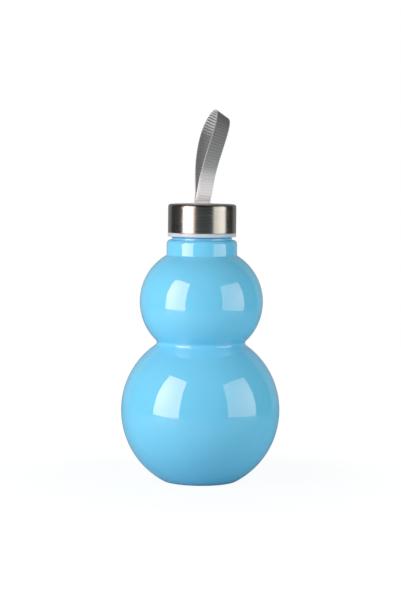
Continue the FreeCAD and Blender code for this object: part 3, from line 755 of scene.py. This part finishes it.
class GOURD_OT_grommet(bpy.types.Operator):
    """Makes the moulded grommet: a flanged section carried round the slot"""

    bl_idname = "gourd.grommet"
    bl_label = "Grommet"

    def execute(self, context):
        cap, strap = context.scene.gourd_cap, context.scene.gourd_strap
        tip_points, side_points, quarter = 20, 12, math.pi / 2
        edge, crease, rim_round, mouth_round = 0.1 * MM, 0.03 * MM, 0.28 * MM, 0.2 * MM
        low, top, plate = GROMMET_BOX[0].z, GROMMET_BOX[1].z, cap.shell_top
        under, wall, lap = plate - cap.shell_wall, GROMMET_WALL, 0.35 * MM
        wide = wall + lap
        corners = [(0, low), (wide, low), (wide, under), (wall, under)]
        corners += [(wall, plate), (wide, plate), (wide, top), (0, top)]
        radii = [edge, edge, edge, crease, crease, edge, rim_round, mouth_round]
        section = without_doubles(rounded(corners, radii))
        run = np.linspace(1, -1, side_points + 2)[1:-1]
        along = np.concatenate([np.ones(tip_points), run]) * strap.slot_half
        along = np.concatenate([along, -along])
        facing = np.concatenate([np.linspace(-quarter, quarter, tip_points), np.full(side_points, quarter)])
        facing = np.concatenate([facing, facing + math.pi])
        reach = strap.slot_radius + section[:, :1]
        height = np.repeat(section[:, 1:], len(facing), 1)
        grid = np.stack([along + reach * np.cos(facing), reach * np.sin(facing), height], 2)
        piece = new_piece("slot_grommet", grid)
        tint = context.scene.gourd_finishes.grommet
        material = moulded_finish("grommet_plastic", tint, rough=0.35, soft=0.1)
        finish_piece(piece, "cap", "grommet_plastic", ["strap_grommet"], material)
        return {"FINISHED"}


class GOURD_OT_pin(bpy.types.Operator):
    """Finishes the cross pin inside the cap in drawn steel"""

    bl_idname = "gourd.pin"
    bl_label = "Cross Pin"

    def execute(self, context):
        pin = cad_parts["strap_pin"]
        pin.data.materials.clear()
        material = steel_finish("drawn_steel", context.scene.gourd_finishes.steel, brushed=0.4)
        pin.data.materials.append(material)
        return {"FINISHED"}


def loop_run(strap):
    """The loop's middle line from its front root over the crest to its back root.

    The rise follows half a cosine of the turn, which goes once round, and the side view is a teardrop of
    sines. The lean grows with the square of the rise, after a small jog just above the grommet. Returns the
    points, the slope of the ribbon's width, which is twisted further at the crest, and the rise.
    """
    samples, crest_twist, widest = 1500, 0.4, FULL_TURN / 3
    turn = np.linspace(0, FULL_TURN, samples)
    rise = strap.loop_height * (1 - np.cos(turn)) / 2
    off = (strap.ribbon_thickness + strap.run_gap) / 2
    bulge = (strap.loop_opening + strap.ribbon_thickness) / 2 - off * math.cos(widest / 2)
    bulge /= math.sin(widest) * math.sin(widest / 2) ** 2
    front = off * np.cos(turn / 2) + bulge * np.sin(turn) * np.sin(turn / 2) ** 2
    share, ramp = rise / strap.loop_height, np.clip(rise / strap.jog_rise, 0, 1)
    lean = strap.loop_lean * share**2 + strap.root_jog * ramp**2 * (3 - 2 * ramp)
    slope = 2 * strap.loop_lean * share / strap.loop_height
    slope += strap.root_jog * 6 * ramp * (1 - ramp) / strap.jog_rise
    points = np.stack([lean, -front, strap.strap_axis + rise], 1)
    return points, slope * (1 + crest_twist * share**6), rise


def stem_run(strap):
    """The ribbon's way inside the cap: down from the back root, round the pin and up to the front root.

    Both runs lie flat together down to stem_depth below the root. From there each flank eases out to the
    arc round the pin, which it meets at an angle of eye_start from the top.
    """
    eye_start, ring_points, flank_points, stem_depth = 38, 80, 60, 2.4 * MM
    eye, half = strap.eye_radius, strap.ribbon_thickness / 2
    bend = np.radians(np.linspace(eye_start, 180, ring_points))
    ring = np.stack([eye * np.sin(bend), strap.eye_height + eye * np.cos(bend)], 1)
    share = np.linspace(0, 1, flank_points)
    start = strap.strap_axis - stem_depth
    ease = share**2 * (3 - 2 * share)
    flank = np.stack([half + (ring[0, 0] - half) * ease, start + (ring[0, 1] - start) * share], 1)
    back = np.concatenate([flank, ring[1:]])
    line = np.concatenate([back, back[-2::-1] * (-1, 1)])
    return np.insert(line, 0, 0.0, axis=1)


class RibbonBand:
    """The ribbon as a closed band of even rows: round the loop, and through the cap round the pin.

    Each row has its point on the middle line, its directions across and inward, its distance along, its rise
    above the root, its half width, and its half thickness on the inner and outer face. Over each rib width
    and thickness swell as an arc of an ellipse. The sewn-over end thickens the front run outside.
    """

    rows_per_rib = 12
    furrow_share = 0.9
    front_share = 0.4
    edge_notch = 0.45 * MM
    lap_start, lap_rise, lap_fall, lap_thickness = 0.4 * MM, 0.5 * MM, 0.25 * MM, 0.45 * MM

    def __init__(self, strap):
        loop, slope, rise = loop_run(strap)
        stem = stem_run(strap)
        line = np.concatenate([loop, stem, loop[:1]])
        level = np.zeros(len(stem) + 1)
        past = np.concatenate([[0], np.cumsum(np.linalg.norm(np.diff(line, axis=0), axis=1))])
        self.total = past[-1]
        count = round(self.total / (strap.rib_pitch / self.rows_per_rib))
        ribs = round(self.total / strap.rib_pitch)
        self.pitch = self.total / ribs
        self.along = np.arange(count) * self.total / count
        self.points = np.stack([np.interp(self.along, past, line[:, axis]) for axis in range(3)], 1)
        self.rise = np.interp(self.along, past, np.concatenate([rise, level]))
        slope = np.interp(self.along, past, np.concatenate([slope, level]))
        ahead = unit(np.roll(self.points, -1, 0) - np.roll(self.points, 1, 0))
        across = np.stack([np.ones(count), np.zeros(count), -slope], 1)
        self.across = unit(across - ahead * (across * ahead).sum(1, keepdims=True))
        self.inward = np.cross(ahead, self.across)
        from_rib = (self.along * ribs / self.total) % 1 * 2 - 1
        swell = np.sqrt(1 - self.furrow_share * from_rib**2)
        self.half_width = strap.ribbon_width / 2 - self.edge_notch * (1 - swell)
        self.inner = strap.ribbon_thickness / 2 - strap.rib_depth * (1 - swell)
        self.on_front = self.along < self.total * self.front_share
        lap = np.clip((self.rise - self.lap_start) / self.lap_rise, 0, 1)
        lap = lap * np.clip((strap.lap_end - self.rise) / self.lap_fall, 0, 1)
        self.outer = self.inner + self.lap_thickness * lap * self.on_front


class GOURD_OT_ribbon(bpy.types.Operator):
    """Makes the ribbed ribbon as one closed band round the pin, through the grommet and round the loop"""

    bl_idname = "gourd.ribbon"
    bl_label = "Ribbon Loop"

    def execute(self, context):
        strap, finishes = context.scene.gourd_strap, context.scene.gourd_finishes
        step, edge, below_root, bend_reach = 1.0 * MM, 0.22 * MM, -1.0 * MM, 1.1 * MM
        band = RibbonBand(strap)
        half = np.array([strap.ribbon_width, strap.ribbon_thickness]) / 2
        corners = np.array([(-1, -1), (1, -1), (1, 1), (-1, 1)]) * half
        section = rounded(corners, [edge] * 4, steps=4)
        section = without_doubles(refined(section, step, closed=True)) / half
        on_inside = section[:, 1] > 0
        wide = band.half_width[:, None] * section[:, 0]
        deep = np.where(on_inside, band.inner[:, None], band.outer[:, None]) * section[:, 1]
        grid = band.points[:, None] + band.across[:, None] * wide[..., None]
        grid = grid + band.inward[:, None] * deep[..., None]
        columns = np.concatenate([section[:, 0], section[:1, 0]]) * strap.ribbon_width / 2
        rows = np.concatenate([band.along, [band.total]])
        uv = np.stack(np.broadcast_arrays(columns[None], rows[:, None]), 2)
        rise = np.where(band.rise > 0, band.rise, below_root)
        marks = {
            "inside": np.repeat(on_inside[None], len(rise), 0),
            "rise": np.repeat(rise[:, None], len(section), 1),
        }
        ribbon = new_piece("ribbon_loop", grid, uv=uv, marks=marks)
        material = ribbon_finish(finishes.ribbon, finishes.ribbon_painted_light, band.pitch, strap)
        finish_piece(ribbon, None, "ribbon_fabric", ["strap_loop", "strap_tail"], material)
        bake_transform(ribbon)
        return {"FINISHED"}


class GOURD_OT_stitches(bpy.types.Operator):
    """Sews the ribbon's root through both runs, and the sewn-over end through the front run"""

    bl_idname = "gourd.stitches"
    bl_label = "Stitches"

    rings, sides = 9, 8

    def execute(self, context):
        strap = context.scene.gourd_strap
        per_seam, margin = 6, 0.9 * MM
        low, high, lap = 1.7 * MM, 3.2 * MM, strap.lap_end - 1.2 * MM
        front, back, outward, inward = True, False, -1, 1
        seams = [(low, front, outward), (high, front, outward), (lap, front, outward)]
        seams += [(low, back, outward), (high, back, outward), (lap, front, inward)]
        band = RibbonBand(strap)
        reach = strap.ribbon_width / 2 - margin - strap.stitch_length / 2
        stitches = []
        for level, run, side in seams:
            on_run = (band.on_front == run) & (band.rise > 0)
            row = np.argmin(np.where(on_run, np.abs(band.rise - level), np.inf))
            for offset in np.linspace(-reach, reach, per_seam):
                stitches.append(self.stitch(strap, band, row, side, offset))
        material = thread_finish(context.scene.gourd_finishes.thread)
        finish_piece(self.joined(stitches), "strap", "stitch_thread", ["strap_stitches"], material)
        return {"FINISHED"}

    def stitch(self, strap, band, row, side, offset):
        """One stitch as rings of points: a bowed thread that dips into the ribbon at both ends.

        Its thickness falls as the root of 1 - u^4, where u runs from -1 to 1 along it, and its height above
        the surface falls with the square of u.
        """
        bare_end, bow, dip = 0.96, 0.45, 0.75
        u = np.linspace(-bare_end, bare_end, self.rings)[:, None, None]
        v = round_angles(self.sides)[None, :, None]
        across, out = band.across[row], band.inward[row] * side
        surface = band.inner[row] if side > 0 else band.outer[row]
        thick = strap.thread_radius * np.sqrt(1 - u**4)
        lift = surface + strap.thread_radius * (bow - dip * u**2) + thick * np.cos(v)
        middle = band.points[row] + across * (offset + u * strap.stitch_length / 2)
        return middle + out * lift + np.cross(out, across) * thick * np.sin(v)

    def joined(self, stitches):
        """All stitches as one mesh: each is a tube of rings, closed by a face at each end."""
        row, column = grid_faces(self.rings, self.sides)
        tube = (row * self.sides + column % self.sides)[:, ::-1]
        ring, count = np.arange(self.sides), self.rings * self.sides
        ends = np.array([ring, count - 1 - ring])
        first = np.arange(len(stitches))[:, None, None] * count
        faces = (first + tube).reshape(-1, 4).tolist() + (first + ends).reshape(-1, self.sides).tolist()
        piece = linked("ribbon_stitches", np.stack(stitches).reshape(-1, 3), faces)
        piece.data.shade_smooth()
        return piece


# Stage

# A soft box covers a span of directions, in degrees as seen from the axis. It is so many metres tall, leans
# by so many degrees, and is brightest at the place hot on its face.
LEFT_BOX = {"span": (-66, -27), "tall": 0.52, "lean": 4, "tint": (1.0, 0.89, 0.86), "hot": (0.2, 0.45, 0)}
RIGHT_BOX = {"span": (38.5, 84.5), "tall": 0.42, "lean": 1, "tint": (0.95, 0.98, 0.95), "hot": (0.8, 0.4, 0)}


def stand(scene, name, data, right, up, back, where, roll):
    """A camera or lamp whose own X, Y and Z point right, up and back, rolled about its line of sight."""
    across = right * math.cos(roll) + up * math.sin(roll)
    upright = up * math.cos(roll) - right * math.sin(roll)
    matrix = np.eye(4)
    matrix[:3] = np.stack([across, upright, back, where], 1)
    thing = bpy.data.objects.new(name, data)
    thing.matrix_world = Matrix(matrix.tolist())
    scene.collection.objects.link(thing)
    return thing


def seen_directly(near):
    """1 for rays from the camera or through glass, and 0 for all others."""
    ray = add(near, "LightPath").outputs
    return calculate("MAXIMUM", ray["Is Camera Ray"], ray["Is Transmission Ray"])


class GOURD_OT_stage(bpy.types.Operator):
    """Sets up the floor, the white backdrop, two standing soft boxes and the camera"""

    bl_idname = "gourd.stage"
    bl_label = "Studio"

    def execute(self, context):
        scene, stage = context.scene, context.scene.gourd_stage
        scene.view_settings.view_transform = "Standard"
        self.camera(scene, stage)
        self.soft_box(scene, stage, "soft_box_left", stage.lamp_left, **LEFT_BOX)
        self.soft_box(scene, stage, "soft_box_right", stage.lamp_right, **RIGHT_BOX)
        self.floor(scene, stage)
        self.world(scene, stage)
        return {"FINISHED"}

    def toward(self, stage, degrees):
        """Level direction from the axis, turned from the camera's own direction to the picture's right."""
        angle = stage.azimuth + math.radians(degrees)
        return np.array([math.sin(angle), -math.cos(angle), 0.0])

    def camera(self, scene, stage):
        """Looks at the axis from its distance, pitch and azimuth, rolled about its own line of sight."""
        lens = bpy.data.cameras.new("photo_camera")
        lens.sensor_fit = "VERTICAL"
        lens.sensor_height = 24.0
        lens.lens = stage.lens
        lens.clip_start = 0.01
        lens.clip_end = 50.0
        back = self.toward(stage, 0) * math.cos(stage.pitch) + np.array([0, 0, math.sin(stage.pitch)])
        right = self.toward(stage, 90)
        where = np.array([0, 0, stage.aim]) + back * stage.distance + right * stage.aside
        up = np.cross(back, right)
        scene.camera = stand(scene, "photo_camera", lens, right, up, back, where, stage.roll)

    def soft_box(self, scene, stage, name, watts, span, tall, lean, tint, hot):
        """A tall soft box that stands on the floor, faces the axis and is brightest at one place."""
        reach, foot = 0.45, 5.0 * MM
        light = bpy.data.lights.new(name, "AREA")
        light.shape = "RECTANGLE"
        light.size = 2 * reach * math.tan(math.radians(span[1] - span[0]) / 2)
        light.size_y = tall
        light.energy = watts
        light.color = tint
        light.use_nodes = True
        glow = light.node_tree.nodes["Emission"]
        face = add(glow, "NewGeometry").outputs["Parametric"]
        off = add(glow, "VectorMath", {0: face, 1: hot}, operation="DISTANCE").outputs["Value"]
        feed(glow, {"Strength": ranged(off, (0.0, 0.6), (1.25, 0.8))})
        back, up = self.toward(stage, sum(span) / 2), np.array([0, 0, 1.0])
        where = back * reach + up * (tall / 2 + foot)
        lamp = stand(scene, name, light, np.cross(up, back), up, back, where, -math.radians(lean))
        lamp.visible_camera = False

    def floor(self, scene, stage):
        """A round floor, nearly white to the camera, that keeps a faint shadow and fades out at its edge."""
        columns = 96
        edge = revolved(np.array([[stage.floor_radius, 0.0]]), columns)[0]
        floor = linked("studio_floor", edge, [list(range(columns))])
        material, shader = start_finish("studio_floor", {"Roughness": 0.6})
        where = place(shader)
        feed(shader, {"Base Color": mottled(noise(where, 300.0), scene.gourd_finishes.floor, 0.98, 1.0)})
        white = add(shader, "Emission", {"Strength": 1.08}).outputs[0]
        clear = add(shader, "BsdfTransparent").outputs[0]
        away = add(shader, "VectorMath", {0: where}, operation="LENGTH").outputs["Value"]
        white_share = calculate("MULTIPLY", seen_directly(shader), ranged(away, (0.08, 0.26), (0.86, 1.0)))
        lit = add(shader, "MixShader", {0: white_share, 1: shader.outputs[0], 2: white}).outputs[0]
        fade = ranged(away, (0.3, 0.9), (0.0, 1.0))
        faded = add(shader, "MixShader", {0: fade, 1: lit, 2: clear}).outputs[0]
        feed(material.node_tree.nodes["Material Output"], {"Surface": faded})
        floor.data.materials.append(material)

    def world(self, scene, stage):
        """White to the camera; to other rays bright behind the bottle and dim in front of it."""
        dim_gloss, bright_gloss = (0.046, 0.046, 0.044, 1), grey(0.32)
        dim_fill, bright_fill = grey(0.08), (0.62, 0.66, 0.67, 1)
        world = bpy.data.worlds.new("studio")
        world.use_nodes = True
        scene.world = world
        surface = world.node_tree.nodes["Background"]
        direction = add(surface, "TexCoord").outputs["Generated"]
        away = (-self.toward(stage, 0)).tolist()
        along = add(surface, "VectorMath", {0: direction, 1: away}, operation="DOT_PRODUCT")
        behind = along.outputs["Value"]
        gloss = between(ranged(behind, (0.58, 0.66), (0, 1)), dim_gloss, bright_gloss)
        fill = between(ranged(behind, (-0.1, 0.6), (0, 1)), dim_fill, bright_fill)
        room = between(add(surface, "LightPath").outputs["Is Glossy Ray"], fill, gloss)
        feed(surface, {"Color": between(seen_directly(surface), room, grey(1.0)), "Strength": 1.0})


class GOURD_PT_panel(bpy.types.Panel):
    """Lists the pieces of the gourd bottle"""

    bl_idname = "GOURD_PT_panel"
    bl_label = "Gourd Bottle"
    bl_space_type = "VIEW_3D"
    bl_region_type = "UI"
    bl_category = "Gourd Bottle"

    def draw(self, context):
        for operator in OPERATORS:
            self.layout.operator(operator.bl_idname)
        for group in GROUPS:
            box = self.layout.box()
            settings = getattr(context.scene, group)
            for name in settings.__annotations__:
                box.prop(settings, name)


GROUPS = {
    "gourd_bottle": GourdBottleSizes,
    "gourd_cap": GourdCapSizes,
    "gourd_strap": GourdStrapSizes,
    "gourd_finishes": GourdFinishes,
    "gourd_stage": GourdStage,
}
OPERATORS = [
    GOURD_OT_stage,
    GOURD_OT_bottle,
    GOURD_OT_seal,
    GOURD_OT_liner,
    GOURD_OT_shell,
    GOURD_OT_grommet,
    GOURD_OT_pin,
    GOURD_OT_ribbon,
    GOURD_OT_stitches,
]


def register():
    for name, group in GROUPS.items():
        bpy.utils.register_class(group)
        setattr(bpy.types.Scene, name, PointerProperty(type=group))
    for shown in [*OPERATORS, GOURD_PT_panel]:
        bpy.utils.register_class(shown)


def unregister():
    for shown in [GOURD_PT_panel, *reversed(OPERATORS)]:
        bpy.utils.unregister_class(shown)
    for name, group in GROUPS.items():
        delattr(bpy.types.Scene, name)
        bpy.utils.unregister_class(group)


def main():
    register()
    bpy.ops.gourd.stage()
    bpy.ops.gourd.bottle()
    bpy.ops.gourd.seal()
    bpy.ops.gourd.liner()
    bpy.ops.gourd.shell()
    bpy.ops.gourd.grommet()
    bpy.ops.gourd.pin()
    bpy.ops.gourd.ribbon()
    bpy.ops.gourd.stitches()


if __name__ == "__main__":
    main()
